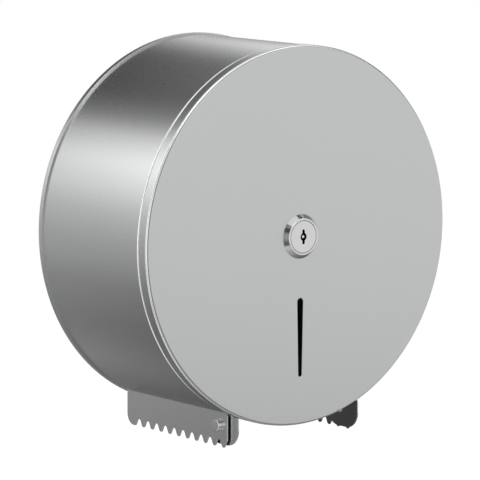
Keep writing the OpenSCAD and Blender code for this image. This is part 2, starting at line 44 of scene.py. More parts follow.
bodyOf = {n: b for b, members in frame["record"]["behaviour"]["bodies"].items() for n in members}
scene = bpy.context.scene
print("frame loaded:", len(nodes), "CAD nodes")

# Lengths in the pieces' dictionaries are millimetres. X is to the right, Z is up, and a height is a
# distance in front of the wall, so a point at height h lies at Y = -h.
mm = 0.001  # metres in a millimetre
tiny = 1e-6  # keeps a divisor clear of 0


# shapes

def points(x, y, z):
    # three coordinates spread over one grid
    return np.stack(np.broadcast_arrays(x, y, z), -1)


def quarterTurn(steps):
    return np.linspace(0, np.pi / 2, steps)


def fullTurn(steps):
    # angles once round, one to a row
    return np.linspace(0, 2 * np.pi, steps, endpoint=False)[:, None]


def patch(grid, wrapU=False, wrapV=False):
    # a grid of points becomes one four-sided face for each cell, joined round where it wraps
    nu, nv = grid.shape[:2]
    index = np.arange(nu * nv).reshape(nu, nv)
    if wrapU:
        index = np.vstack([index, index[:1]])
    if wrapV:
        index = np.hstack([index, index[:, :1]])
    quads = np.stack([index[:-1, :-1], index[1:, :-1], index[1:, 1:], index[:-1, 1:]], -1)
    return grid.reshape(-1, 3), quads.reshape(-1, 4)


def closedTube(grid):
    # each row of the grid is one closed loop; the first and last loops are filled
    return [patch(grid, False, True)] + [(grid[i], [range(grid.shape[1])]) for i in (0, -1)]


def roundCorners(corners, radii, steps):
    # each corner of a closed outline becomes an arc that touches both sides: its centre lies on the
    # corner's bisector, at the radius divided by the sine of half the corner's angle
    p, r = np.asarray(corners, float), np.asarray(radii, float)[:, None]
    before, after = np.roll(p, 1, 0) - p, np.roll(p, -1, 0) - p
    before /= np.linalg.norm(before, axis=1, keepdims=True)
    after /= np.linalg.norm(after, axis=1, keepdims=True)
    half = 0.5 * np.arccos(np.clip((before * after).sum(1, keepdims=True), -1, 1))
    bisector = before + after
    bisector /= np.linalg.norm(bisector, axis=1, keepdims=True)
    centre = p + bisector * r / np.sin(half)
    start, end = p + before * r / np.tan(half) - centre, p + after * r / np.tan(half) - centre
    a0, a1 = np.arctan2(start[:, 1], start[:, 0]), np.arctan2(end[:, 1], end[:, 0])
    turn = (a1 - a0 + np.pi) % (2 * np.pi) - np.pi
    a = a0[:, None] + turn[:, None] * np.linspace(0, 1, steps + 1)
    return (centre[:, None] + r[:, None] * np.stack([np.cos(a), np.sin(a)], -1)).reshape(-1, 2)


def turned(profile, angles):
    # a profile of radius and height carried round the drum's axis: X = r sin a, Z = -r cos a
    r, h = profile[..., 0], profile[..., 1]
    return points(r * np.sin(angles), -h, -r * np.cos(angles))


def ringWall(rings, angles):
    # rings of radius and height about the drum's axis, joined in order; a radius may differ at every angle
    r = np.stack([radius + 0 * angles for radius, height in rings])
    h = np.array([height for radius, height in rings])[:, None]
    return points(r * np.sin(angles), -h, -r * np.cos(angles))


def softPlate(outline, v, side, steps=5, closest=1e-4):
    # an outline of height and Z carried across the sheet's thickness; near both faces it draws in by a
    # quarter circle, and of two points closer together than the closest allowed one is dropped
    o = outline[np.linalg.norm(np.roll(outline, -1, 0) - outline, axis=1) > closest]
    tangent = np.roll(o, -1, 0) - np.roll(o, 1, 0)
    area = (o[:, 0] * np.roll(o[:, 1], -1) - o[:, 1] * np.roll(o[:, 0], -1)).sum()
    outwards = np.sign(area) * np.stack([tangent[:, 1], -tangent[:, 0]], -1)
    outwards /= np.linalg.norm(tangent, axis=1, keepdims=True)
    q, edge = quarterTurn(steps), v["softEdge"]
    inset = edge * np.concatenate([1 - np.sin(q), 1 - np.cos(q)])
    innerSide = v["outer"] - v["thickness"] + edge * (1 - np.cos(q))
    across = np.concatenate([innerSide, v["outer"] - edge * (1 - np.sin(q))])
    flat = o - outwards * inset[:, None, None]
    return closedTube(points(side * across[:, None], -flat[..., 0], flat[..., 1]))


# pieces

# faces that meet at less than the angle in degrees shade as one surface, and points are joined where they
# are closer than the merging distance in metres
newPiece = {"angle": 38, "merge": 2e-6}
nodeCopy = {"angle": 32, "merge": 1e-6}


def addPiece(name, patches, material, body, node):
    # each patch is its points and its faces, and its faces count on from the points before it
    verts = np.concatenate([p[0] for p in patches]) * mm
    offsets = np.cumsum([0] + [len(p[0]) for p in patches[:-1]])
    faces = [face for o, p in zip(offsets, patches) for face in (np.array(p[1]) + o).tolist()]
    mesh = bpy.data.meshes.new(name)
    mesh.from_pydata(verts.tolist(), [], faces)
    finishPiece(name, mesh, material, body, node, newPiece)


def smoothCopy(node):
    # the node's own solid with its seams merged, so that its round faces shade as round
    mesh = nodes[node].data.copy()
    mesh.name = node + "_finish"
    finishPiece(node + "_finish", mesh, finishes[slotOf[node]], bodyOf[node], node, nodeCopy)


def finishPiece(name, mesh, material, body, node, v):
    # seams and poles are merged, faces turned outwards, and flat faces keep flat shading up to soft edges
    bm = bmesh.new()
    bm.from_mesh(mesh)
    bmesh.ops.remove_doubles(bm, verts=bm.verts, dist=v["merge"])
    bmesh.ops.recalc_face_normals(bm, faces=bm.faces)
    bm.to_mesh(mesh)
    bm.free()
    mesh.polygons.foreach_set("use_smooth", np.ones(len(mesh.polygons), bool))
    mesh.set_sharp_from_angle(angle=math.radians(v["angle"]))
    mesh.materials.clear()
    mesh.materials.append(material)
    piece = bpy.data.objects.new(name, mesh)
    scene.collection.objects.link(piece)
    piece.modifiers.new("flatFaces", "WEIGHTED_NORMAL").keep_sharp = True
    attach(piece, body)
    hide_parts(node)


# materials

def addNode(tree, kind, inputs=(), **settings):
    # a shader node with its settings; an input is linked where it is given a socket, and set otherwise
    node = tree.nodes.new("ShaderNode" + kind)
    for name, value in settings.items():
        setattr(node, name, value)
    for name, value in dict(inputs).items():
        if isinstance(value, bpy.types.NodeSocket):
            tree.links.new(value, node.inputs[name])
        else:
            node.inputs[name].default_value = value
    return node


def mathNode(tree, operation, *values):
    return addNode(tree, "Math", enumerate(values), operation=operation).outputs[0]


def noiseNode(tree, place, scale, detail, rough=0.5):
    inputs = {"Vector": place, "Scale": scale, "Detail": detail, "Roughness": rough}
    return addNode(tree, "TexNoise", inputs).outputs["Fac"]


def rangeNode(tree, value, fromMin, fromMax, toMin, toMax):
    # from toMin to toMax while the value goes from fromMin to fromMax, and level beyond them
    limits = {"From Min": fromMin, "From Max": fromMax, "To Min": toMin, "To Max": toMax}
    return addNode(tree, "MapRange", {"Value": value, **limits}).outputs[0]


def apartNode(tree, vector):
    return addNode(tree, "SeparateXYZ", {0: vector}).outputs


def objectPlace(tree):
    return addNode(tree, "TexCoord").outputs["Object"]


def axisSquare(tree, at):
    # the distance from the drum's axis, squared
    squares = [mathNode(tree, "MULTIPLY", at[axis], at[axis]) for axis in ("X", "Z")]
    return mathNode(tree, "ADD", *squares)


def effectGroup(name, places, numbers, outputs):
    # a node group with named inputs, which are places and numbers, and named outputs
    group = bpy.data.node_groups.new(name, "ShaderNodeTree")
    for label in places:
        group.interface.new_socket(label, in_out="INPUT", socket_type="NodeSocketVector")
    for label, value in numbers.items():
        socket = group.interface.new_socket(label, in_out="INPUT", socket_type="NodeSocketFloat")
        socket.default_value = value
    for label in outputs:
        group.interface.new_socket(label, in_out="OUTPUT", socket_type="NodeSocketFloat")
    return group, group.nodes.new("NodeGroupInput").outputs, group.nodes.new("NodeGroupOutput").inputs


# satin grain: fine lines drawn out along one direction, a finer speck, and slow cloudy patches of handling
grainLook = {"lineScale": 1, "lineDetail": 3, "lineRoughness": 0.7, "speckScale": 1600, "speckDetail": 1,
             "speckShare": 0.6, "middle": 0.8, "cloudScale": 9, "cloudDetail": 3, "cloudRoughness": 0.45}


def makeGrain(v):
    group, given, made = effectGroup("satinGrain", ["Lines", "Place"], {"Grain": 0.02, "Cloud": 0.02},
                                     ["Shade", "Rough", "Height"])
    lines = noiseNode(group, given["Lines"], v["lineScale"], v["lineDetail"], v["lineRoughness"])
    specks = noiseNode(group, given["Place"], v["speckScale"], v["speckDetail"])
    cloud = noiseNode(group, given["Place"], v["cloudScale"], v["cloudDetail"], v["cloudRoughness"])
    centred = mathNode(group, "SUBTRACT", lines, v["middle"])
    fine = mathNode(group, "MULTIPLY_ADD", specks, v["speckShare"], centred)
    grain = mathNode(group, "MULTIPLY", fine, given["Grain"])
    handling = mathNode(group, "MULTIPLY", mathNode(group, "SUBTRACT", cloud, 0.5), given["Cloud"])
    shade = mathNode(group, "ADD", mathNode(group, "ADD", grain, handling), 1.0)
    group.links.new(shade, made["Shade"])
    group.links.new(mathNode(group, "SUBTRACT", grain, handling), made["Rough"])
    group.links.new(fine, made["Height"])
    return group


# fine pits: the matt texture of a mould, with a slight change of shade and gloss
pitLook = {"pitDetail": 3, "pitRoughness": 0.6, "patchScale": 30, "patchDetail": 2, "shadeChange": 0.3,
           "glossChange": 0.15}


def makePits(v):
    group, given, made = effectGroup("finePits", ["Place"], {"Scale": 900}, ["Shade", "Rough", "Height"])
    pits = noiseNode(group, given["Place"], given["Scale"], v["pitDetail"], v["pitRoughness"])
    patches = noiseNode(group, given["Place"], v["patchScale"], v["patchDetail"])
    shade, gloss = v["shadeChange"], v["glossChange"]
    group.links.new(mathNode(group, "MULTIPLY_ADD", patches, shade, 1 - shade / 2), made["Shade"])
    group.links.new(mathNode(group, "MULTIPLY_ADD", pits, gloss, -gloss / 2), made["Rough"])
    group.links.new(pits, made["Height"])
    return group


def makeBoreShade():
    # painted shade: below the face and inside a radius the colour is darkened, for the shade in the recess
    usual = {"Radius": 0.01, "Top": 0.125, "Inside": 0.1}
    group, given, made = effectGroup("paintedBoreShade", ["Place"], usual, ["Shade"])
    at = apartNode(group, given["Place"])
    within = mathNode(group, "LESS_THAN", mathNode(group, "SQRT", axisSquare(group, at)), given["Radius"])
    below = mathNode(group, "GREATER_THAN", mathNode(group, "ADD", at["Y"], given["Top"]), 0.0)
    mask = mathNode(group, "MULTIPLY", within, below)
    change = mathNode(group, "SUBTRACT", given["Inside"], 1.0)
    group.links.new(mathNode(group, "MULTIPLY_ADD", mask, change, 1.0), made["Shade"])
    return group


grainGroup, pitGroup, boreShadeGroup = makeGrain(grainLook), makePits(pitLook), makeBoreShade()


def newMaterial(name, v, metallic):
    mat = bpy.data.materials.new(name)
    mat.use_nodes = True
    shader = mat.node_tree.nodes["Principled BSDF"]
    shader.inputs["Base Color"].default_value = (*v["color"], 1)
    shader.inputs["Metallic"].default_value = metallic
    shader.inputs["Roughness"].default_value = v["roughness"]
    return mat, mat.node_tree, shader


bumpDepth = {"steel": 0.02, "moulded": 0.1}  # millimetres


def dressShader(tree, shader, effect, v, depth):
    # the effect's shade scales the colour, its gloss is added to the roughness, and its height makes a bump
    tint = addNode(tree, "VectorMath", {0: v["color"], "Scale": effect["Shade"]}, operation="SCALE")
    tree.links.new(tint.outputs["Vector"], shader.inputs["Base Color"])
    tree.links.new(mathNode(tree, "ADD", effect["Rough"], v["roughness"]), shader.inputs["Roughness"])
    if v["bump"]:
        inputs = {"Strength": v["bump"], "Distance": mm * depth, "Height": effect["Height"]}
        tree.links.new(addNode(tree, "Bump", inputs).outputs["Normal"], shader.inputs["Normal"])


def steelMaterial(name, v):
    # stretch draws the grain out: a small number along the lines, a large one across them
    mat, tree, shader = newMaterial(name, v, 1)
    place = objectPlace(tree)
    drawn = addNode(tree, "Mapping", {"Vector": place, "Scale": v["stretch"]}).outputs["Vector"]
    inputs = {"Lines": drawn, "Place": place, "Grain": v["grain"], "Cloud": v["cloud"]}
    effect = addNode(tree, "Group", inputs, node_tree=grainGroup).outputs
    dressShader(tree, shader, effect, v, bumpDepth["steel"])
    return mat


def mouldedMaterial(name, v):
    mat, tree, shader = newMaterial(name, v, 0)
    shader.inputs["Sheen Weight"].default_value = v["sheen"]
    inputs = {"Place": objectPlace(tree), "Scale": v["pitScale"]}
    effect = addNode(tree, "Group", inputs, node_tree=pitGroup).outputs
    dressShader(tree, shader, effect, v, bumpDepth["moulded"])
    return mat


def shadeBase(mat, factor):
    # the colour so far, times the factor
    tree = mat.node_tree
    base = tree.nodes["Principled BSDF"].inputs["Base Color"]
    shade = addNode(tree, "VectorMath", {0: base.links[0].from_socket, "Scale": factor}, operation="SCALE")
    tree.links.new(shade.outputs["Vector"], base)
    return mat


def paintSeamShade(mat, v):
    # painted shade: past a radius from the drum's axis the disc's rim is darkened, for the shade in the seam
    # between the disc and the ring
    tree = mat.node_tree
    radius = mathNode(tree, "SQRT", axisSquare(tree, apartNode(tree, objectPlace(tree))))
    return shadeBase(mat, rangeNode(tree, radius, mm * v["edgeStart"], mm * v["edgeFull"], 1, v["edgeShade"]))


def paintInsideShade(mat, v):
    # painted shade: faces that look towards the middle plane, into the shaded space between the blades, are
    # darkened; there the sign of X times the normal's X is below 0
    tree = mat.node_tree
    coords = addNode(tree, "TexCoord").outputs
    side = mathNode(tree, "SIGN", apartNode(tree, coords["Object"])["X"])
    inwards = mathNode(tree, "MULTIPLY", side, apartNode(tree, coords["Normal"])["X"])
    return shadeBase(mat, rangeNode(tree, inwards, *v["insideFacing"], v["insideShade"], 1))


def paintBendHighlights(mat, v):
    # painted highlights on the rounded bends: each has a range of heights in front of the wall, and a gain;
    # the ends of the range are soft
    tree = mat.node_tree
    y, total = apartNode(tree, objectPlace(tree))["Y"], 1.0
    for start, end, gain in v["bends"]:
        middle, half = -mm * (start + end) / 2, mm * (end - start) / 2
        away = mathNode(tree, "ABSOLUTE", mathNode(tree, "SUBTRACT", y, middle))
        band = rangeNode(tree, away, half - mm * v["bendSoft"], half, gain, 0)
        total = mathNode(tree, "ADD", band, total)
    return shadeBase(mat, total)


# darkens the colour inside a bore below the face: a painted shade
def paintBoreShade(mat, v):
    tree = mat.node_tree
    sizes = {"Radius": mm * v["radius"], "Top": mm * v["top"], "Inside": v["shade"]}
    bore = addNode(tree, "Group", {"Place": objectPlace(tree), **sizes}, node_tree=boreShadeGroup)
    return shadeBase(mat, bore.outputs["Shade"])


# edgeStart, edgeFull and edgeShade set the painted shade at the disc's rim, in the seam against the ring
coverFaceLook = {"color": (0.532, 0.544, 0.538), "roughness": 0.30, "grain": 0.004, "cloud": 0.008, "bump": 0,
                 "stretch": (6, 6, 900), "edgeStart": 127.1, "edgeFull": 127.22, "edgeShade": 0.40}
coverFace = paintSeamShade(steelMaterial("coverFaceSteel", coverFaceLook), coverFaceLook)

# bends and bendSoft set painted highlights on the drum's shoulder bend and the cover ring's bend
drumLook = {"color": (0.520, 0.530, 0.525), "roughness": 0.27, "grain": 0.016, "cloud": 0.012, "bump": 0,
            "stretch": (500, 900, 500), "bends": [(110.8, 112.4, 0.6), (120.1, 121.5, 0.42)],
            "bendSoft": 0.25}
drumSteel = paintBendHighlights(steelMaterial("drumSteel", drumLook), drumLook)

# insideFacing and insideShade set the painted shade on the faces of the blades and ears that look inwards
bladeLook = {"color": (0.535, 0.546, 0.540), "roughness": 0.25, "grain": 0.01, "cloud": 0.012, "bump": 0,
             "stretch": (6, 6, 900), "insideFacing": (-0.8, -0.5), "insideShade": 0.20}
bladeSteel = paintInsideShade(steelMaterial("bladeSteel", bladeLook), bladeLook)

plateLook = {"color": drumLook["color"], "roughness": 0.30, "grain": 0.05, "cloud": 0.05, "bump": 0.06,
             "stretch": (6, 6, 900)}
innerLook = {"color": (0.42, 0.425, 0.425), "roughness": 0.34, "grain": 0.06, "cloud": 0.08, "bump": 0.1,
             "stretch": (900, 12, 12)}
brightLook = {"color": (0.63, 0.63, 0.63), "roughness": 0.16, "grain": 0.03, "cloud": 0.05, "bump": 0.03,
              "stretch": (500, 500, 500)}
springLook = {"color": (0.06, 0.06, 0.065), "roughness": 0.38, "grain": 0.1, "cloud": 0.2, "bump": 0.1,
              "stretch": (400, 400, 400)}
plateSteel, innerSteel = steelMaterial("plateSteel", plateLook), steelMaterial("innerSteel", innerLook)
brightSteel, springSteel = steelMaterial("brightSteel", brightLook), steelMaterial("springSteel", springLook)

chromeLook = {"color": (0.61, 0.61, 0.61), "roughness": 0.16, "grain": 0.012, "cloud": 0.02, "bump": 0,
              "stretch": (300, 300, 300)}
# painted shade in the collar's bore round the plug and in the keyhole: radius, top and shade of each
collarBoreShade = {"radius": 11.2, "top": 125.2, "shade": 0.1}
keyholeShade = {"radius": 5.2, "top": 125.12, "shade": 0.06}
chrome = steelMaterial("chromePlate", chromeLook)
collarChrome = paintBoreShade(steelMaterial("collarChrome", chromeLook), collarBoreShade)
plugChrome = paintBoreShade(steelMaterial("plugChrome", chromeLook), keyholeShade)

hubLook = {"color": (0.045, 0.047, 0.05), "roughness": 0.45, "pitScale": 900, "bump": 0.25, "sheen": 0}
washerLook = {"color": (0.02, 0.02, 0.02), "roughness": 0.4, "pitScale": 1500, "bump": 0.15, "sheen": 0}
feltLook = {"color": (0.06, 0.06, 0.062), "roughness": 0.95, "pitScale": 2600, "bump": 1.0, "sheen": 0.4}
finishes = {"satin_steel": plateSteel, "blade_steel": bladeSteel, "inner_steel": innerSteel,
            "polished_steel": brightSteel, "spring_steel": springSteel, "chrome": chrome,
            "hub_plastic": mouldedMaterial("hubPlastic", hubLook),
            "washer_plastic": mouldedMaterial("washerPlastic", washerLook),
            "felt": mouldedMaterial("feltPad", feltLook)}
for name, node in nodes.items():
    node.data.materials.clear()
    node.data.materials.append(finishes[slotOf[name]])
print("materials made")


# housing

drum = {"radius": 128, "sheet": 0.8, "foot": 2.05, "shoulder": 112, "shoulderRadius": 1.55,
        "lipRadius": 126.4, "lipEnd": 117.25, "foldRadius": 0.02, "cutHalfWidth": 54.7, "edgeRadius": 0.12,
        "bendSteps": 8, "steps": 288}


def makeDrumSkin(v):
    # a rolled sheet: its wall, rounded shoulder and inner lip turned about the axis, left open at the bottom
    # between two upright planes, where each radius starts at arcsin(half width / radius)
    r, s, t, e = v["radius"], v["shoulder"], v["sheet"], v["edgeRadius"]
    lip, bend, fold = v["lipRadius"], v["shoulderRadius"], v["foldRadius"]
    corners = [(r - t, v["foot"]), (r, v["foot"]), (r, s), (lip, s), (lip, v["lipEnd"]),
               (lip - t, v["lipEnd"]), (lip - t, s - t), (r - t, s - t)]
    loop = roundCorners(corners, [e, e, bend, fold, e, e, fold, bend - t], v["bendSteps"])
    start = np.arcsin(v["cutHalfWidth"] / loop[:, 0])
    along = np.linspace(0, 1, v["steps"])[:, None]
    return closedTube(turned(loop[None], start + along * (2 * np.pi - 2 * start)))


backPlate = {"thickness": 1.2, "rimRadius": 129.25, "rimHeight": 4.8, "bendRadius": 2, "plateauRadius": 46,
             "plateauHeight": 3, "wallHoleRadius": 3.25, "wallHolePitch": 120, "rivetHoleRadius": 2.05,
             "rivetCircle": 29, "bendSteps": 10, "cutSteps": 81, "rimSteps": 228, "slopeSteps": 144,
             "holeSteps": 32}


def squareHoles(reach, radius, steps):
    # four round holes at a square's corners: the X and Z of each
    x, z = radius * np.cos(fullTurn(steps)[:, 0]), radius * np.sin(fullTurn(steps)[:, 0])
    return [(sx * reach + x, sz * reach + z) for sx in (1, -1) for sz in (1, -1)]


def flatFill(outlines):
    # a flat sheet inside the first outline and outside the others, in triangles
    fill = tessellate_polygon([[Vector((x, z, 0)) for x, y, z in line.tolist()] for line in outlines])
    return np.concatenate(outlines), fill


def makeBackPlate(v):
    # the rim is a bent profile turned about the axis, and its height is held to the sheet's thickness between
    # the blades; the pressed slopes are cones, and flat sheets with round holes fill what lies between them
    t, b, big, rise = v["thickness"], v["bendRadius"], v["rimRadius"], v["plateauHeight"]
    q = quarterTurn(v["bendSteps"])
    back = np.stack([big - b + b * np.sin(q), b - b * np.cos(q)], -1)
    front = np.stack([big - b + (b - t) * np.sin(q[::-1]), b - (b - t) * np.cos(q[::-1])], -1)
    rim = np.concatenate([back, [(big, v["rimHeight"]), (big - t, v["rimHeight"])], front])
    heldRadius = big - b + math.sqrt(b * b - (b - t) ** 2)
    held = np.stack([np.minimum(rim[:, 0], heldRadius), np.minimum(rim[:, 1], t)], -1)
    half = np.arcsin(drum["cutHalfWidth"] / rim[:, 0])
    between = half * np.linspace(-1, 1, v["cutSteps"])[:, None]
    beyond = half + np.linspace(0, 1, v["rimSteps"])[:, None] * (2 * np.pi - 2 * half)
    grid = np.concatenate([turned(held[None], between), turned(rim[None], beyond)])
    a, p, lean = fullTurn(v["slopeSteps"]), v["plateauRadius"], t * (math.sqrt(2) - 1)
    backSlope = turned(np.array([[(p - rise, rise), (p, 0)]], float), a)
    frontSlope = turned(np.array([[(p + lean, t), (p - rise + lean, rise + t)]], float), a)
    patches = [patch(grid, True), patch(backSlope, True), patch(frontSlope, True)]
    # each flat sheet has the height of its back, its holes, and the outlines of its back and front
    wallHoles = squareHoles(v["wallHolePitch"] / 2, v["wallHoleRadius"], v["holeSteps"])
    rivetHoles = squareHoles(v["rivetCircle"] / math.sqrt(2), v["rivetHoleRadius"], v["holeSteps"])
    sheets = [(0, wallHoles, ([grid[:, 0], backSlope[:, 1]], [grid[:, -1], frontSlope[:, 0]])),
              (rise, rivetHoles, ([backSlope[:, 0]], [frontSlope[:, 1]]))]
    for level, holes, outlines in sheets:
        heights = (level, level + t)
        patches += [patch(points(x[:, None], -np.array(heights, float), z[:, None]), True) for x, z in holes]
        for h, lines in zip(heights, outlines):
            patches.append(flatFill(lines + [points(x, -h, z) for x, z in holes]))
    return patches


addPiece("backPlate", makeBackPlate(backPlate), plateSteel, "housing", "back_plate")
addPiece("drumSkin", makeDrumSkin(drum), drumSteel, "housing", "drum_shell")

blade = {"outer": 54.6, "thickness": 1, "front": 112, "tipZ": -139.6, "topZ": -113.96, "notchZ": -117.44,
         "notchHeight": 1.25, "cornerRadius": 7.5, "toothCount": 11, "firstTip": 108, "pitch": 9.95,
         "toothDepth": 5.1, "tipRadius": 1.9, "rootRadius": 2.1, "arcSteps": 13, "cornerSteps": 17,
         "softEdge": 0.16, "flangeGap": 0.05, "flangeOverlap": 0.6, "flangeWidth": 12, "flangeFoot": 3.2,
         "flangeTop": 109.6, "flangeSteps": 24}


def toothedOutline(v):
    # round tips and round roots joined by flanks tangent to both, from the rear corner to the front edge: an
    # arc of each radius on its own centre, from one tangent point to the next
    half, rootY = v["pitch"] / 2, v["toothDepth"] - v["rootRadius"]
    rise = rootY - v["tipRadius"]
    tipR, rootR = v["tipRadius"], v["rootRadius"]
    lean = math.atan2(rise, half) - math.acos((tipR + rootR) / math.hypot(half, rise))
    tooth = np.arange(v["toothCount"] - 1, -1, -1)[:, None]
    tipX, t = v["firstTip"] - tooth * v["pitch"], np.linspace(0, 1, v["arcSteps"])[None]
    start = np.where(tooth == v["toothCount"] - 1, 1.5 * math.pi, math.pi - lean)
    a = start + (2 * math.pi + lean - start) * t
    tips = np.stack([tipX + tipR * np.cos(a), tipR + tipR * np.sin(a)], -1)
    end = np.where(tooth == 0, math.acos((v["front"] - v["firstTip"] - half) / rootR), -lean)
    b = math.pi + lean + (end - math.pi - lean) * t
    roots = np.stack([tipX + half + rootR * np.cos(b), rootY + rootR * np.sin(b)], -1)
    c = np.linspace(math.pi, 1.5 * math.pi, v["cornerSteps"])
    corner = v["cornerRadius"] * np.stack([1 + np.cos(c), 1 + np.sin(c)], -1)
    row = np.concatenate([corner, np.concatenate([tips, roots], 1).reshape(-1, 2)]) + [0, v["tipZ"]]
    top, notch, n = v["topZ"], v["notchZ"], v["notchHeight"]
    return np.concatenate([row, [(v["front"], top), (n, top), (n, notch), (0, notch)]])


def makeBlade(v, side):
    # the toothed plate, and the flange that is welded inside the drum: an arc of X and Z, where
    # Z = -sqrt(radius squared - X squared), carried from its foot to its top
    outer = drum["radius"] - drum["sheet"] - v["flangeGap"]
    x = np.linspace(v["outer"] - v["flangeOverlap"], v["outer"] + v["flangeWidth"], v["flangeSteps"])
    arcs = [np.stack([x, -np.sqrt(r ** 2 - x ** 2)], -1) for r in (outer, outer - v["thickness"])]
    loop = np.concatenate([arcs[0], arcs[1][::-1]])
    ends = np.array([v["flangeFoot"], v["flangeTop"]])[:, None]
    return softPlate(toothedOutline(v), v, side) + closedTube(points(side * loop[:, 0], -ends, loop[:, 1]))


sides = ((-1, "left"), (1, "right"))
for side, label in sides:
    addPiece("tearBlade_" + label, makeBlade(blade, side), bladeSteel, "housing",
             "tear_blade_" + label)
print("drum and blades made")

rivet = {"height": 103, "z": -124.6, "blade": 54.6, "headRadius": 3.9, "headHeight": 3.1, "headEdge": 0.6,
         "headSink": 0.05, "shankRadius": 2.5, "shankEnd": 3.3, "tailRadius": 3.7, "tailEnd": 4.7,
         "tailEdge": 0.5, "edgeSteps": 8, "steps": 64}


def makeRivet(v, side):
    # a headed pin turned about the hinge line: its depth is measured inwards from the blade's outer face
    f, g, q, sink = v["headEdge"], v["tailEdge"], quarterTurn(v["edgeSteps"]), -v["headSink"]
    head = np.stack([-v["headHeight"] + f - f * np.cos(q), v["headRadius"] - f + f * np.sin(q)], -1)
    tail = np.stack([v["tailEnd"] - g + g * np.sin(q), v["tailRadius"] - g + g * np.cos(q)], -1)
    shank = [(sink, v["headRadius"]), (sink, v["shankRadius"]), (v["shankEnd"], v["shankRadius"]),
             (v["shankEnd"], v["tailRadius"])]
    profile = np.concatenate([[(-v["headHeight"], 0)], head, shank, tail, [(v["tailEnd"], 0)]])
    depth, r, a = profile[:, 0], profile[:, 1], fullTurn(v["steps"])
    y, z = -v["height"] + r * np.cos(a), v["z"] + r * np.sin(a)
    return [patch(points(side * (v["blade"] - depth), y, z), True)]


for side, label in sides:
    addPiece("hingeRivet_" + label, makeRivet(rivet, side), brightSteel, "housing",
             "hinge_rivet_" + label)
for name in ("spindle_base", "spindle_rivets", "spindle_post", "brake_washer", "hub_washer",
             "hub_retaining_ring", "lock_keeper", "keeper_rivets", "hinge_washer_left", "hinge_washer_right",
             "roll_hub"):
    smoothCopy(name)
print("housing and hub made")


# front cover

coverRing = {"radius": 128.4, "innerRadius": 119.4, "front": 121.15, "thickness": 0.9, "flangeEnd": 113,
             "bendRadius": 1.3, "edgeRadius": 0.15, "bendSteps": 8, "steps": 288}


def makeCoverRing(v):
    # the ring behind the disc, bent back into the flange and turned about the axis
    r, f, t, e, b = v["radius"], v["front"], v["thickness"], v["edgeRadius"], v["bendRadius"]
    corners = [(v["innerRadius"], f - t), (r - t, f - t), (r - t, v["flangeEnd"]), (r, v["flangeEnd"]),
               (r, f), (v["innerRadius"], f)]
    loop = roundCorners(corners, [e, b - t, e, e, b, e], v["bendSteps"])
    return [patch(turned(loop[None], fullTurn(v["steps"])), True, True)]


coverDisc = {"radius": 127.3, "front": 122, "back": 121.2, "edgeRadius": 0.45, "backEdge": 0.28,
             "softEdge": 0.12, "slotTop": -41.8, "slotLength": 53.6, "slotTopWidth": 5.1,
             "slotBottomWidth": 3.1, "lockRadius": 10.05, "lockFlats": 8.55, "rowsBelow": 90,
             "rowsBetween": 14, "rowsAbove": 110, "crowding": 0.8, "columns": 9, "rimSteps": 8,
             "softSteps": 5, "slotSteps": (12, 14, 16), "holeSteps": 33}


def slotHalf(v, grow):
    # right half of the slot's outline, from its bottom to its top: two arcs and the leaning side between them
    ra, rb = v["slotTopWidth"] / 2, v["slotBottomWidth"] / 2
    za, zb = v["slotTop"] - ra, v["slotTop"] - v["slotLength"] + rb
    lean, (lowSteps, sideSteps, highSteps) = math.asin((ra - rb) / (za - zb)), v["slotSteps"]
    low, high = np.linspace(-np.pi / 2, -lean, lowSteps), np.linspace(-lean, np.pi / 2, highSteps)
    bottom = np.stack([(rb + grow) * np.cos(low), zb + (rb + grow) * np.sin(low)], -1)
    top = np.stack([(ra + grow) * np.cos(high), za + (ra + grow) * np.sin(high)], -1)
    straight = bottom[-1] + (top[0] - bottom[-1]) * np.linspace(0, 1, sideSteps)[1:-1, None]
    return np.concatenate([bottom, straight, top])


def holeHalf(v, grow):
    # right half of the lock's hole, a circle with a flat on each side
    r, flat = v["lockRadius"] + grow, v["lockFlats"] + grow
    a = np.linspace(-np.pi / 2, np.pi / 2, v["holeSteps"])
    return np.stack([np.minimum(r * np.cos(a), flat), r * np.sin(a)], -1)


def makeCoverDisc(v):
    # each half of the face runs across from the slot's or hole's edge to the rim, whose X is
    # sqrt(radius squared - Z squared), row by row at equal Z; a rounded rim, turned about the axis, and soft
    # slot edges lead from the front face to the back
    rim, tuck, soft, front, back = (v[k] for k in ("edgeRadius", "backEdge", "softEdge", "front", "back"))
    flat, slot, hole = v["radius"] - rim, slotHalf(v, soft), holeHalf(v, soft)
    lowRows = np.linspace(0, 1, v["rowsBelow"])[:-1] ** v["crowding"]
    below = -flat * np.cos(np.arccos(-slot[0, 1] / flat) * lowRows)
    between = np.linspace(slot[-1, 1], hole[0, 1], v["rowsBetween"])[1:-1]
    above = flat * np.cos(np.arccos(hole[-1, 1] / flat) * np.linspace(1, 0, v["rowsAbove"])[1:])
    z = np.concatenate([below, slot[:, 1], between, hole[:, 1], above])[:, None]
    x = np.concatenate([0 * below, slot[:, 0], 0 * between, hole[:, 0], 0 * above])[:, None]
    edge = np.sqrt(np.maximum(flat ** 2 - z ** 2, 0))
    width = x + np.linspace(0, 1, v["columns"]) * (edge - x)
    q = quarterTurn(v["rimSteps"])
    rounded = np.stack([flat + rim * np.sin(q), front - rim + rim * np.cos(q)], -1)
    tucked = np.stack([v["radius"] - tuck + tuck * np.cos(q), back + tuck - tuck * np.sin(q)], -1)
    rimProfile = np.concatenate([rounded, tucked, [(flat, back)]])
    q = quarterTurn(v["softSteps"])
    grows = np.concatenate([soft * (1 - np.sin(q)), [0, soft]])
    depths = np.concatenate([front - soft * (1 - np.cos(q)), [back, back]])
    walls = [np.stack([shape(v, grow) for grow in grows], 1) for shape in (slotHalf, holeHalf)]
    patches = []
    for side in (1, -1):
        patches += [patch(points(side * width, -h, z)) for h in (front, back)]
        patches.append(patch(turned(rimProfile[None], side * np.arctan2(edge, -z))))
        patches += [patch(points(side * wall[..., 0], -depths, wall[..., 1])) for wall in walls]
    return patches


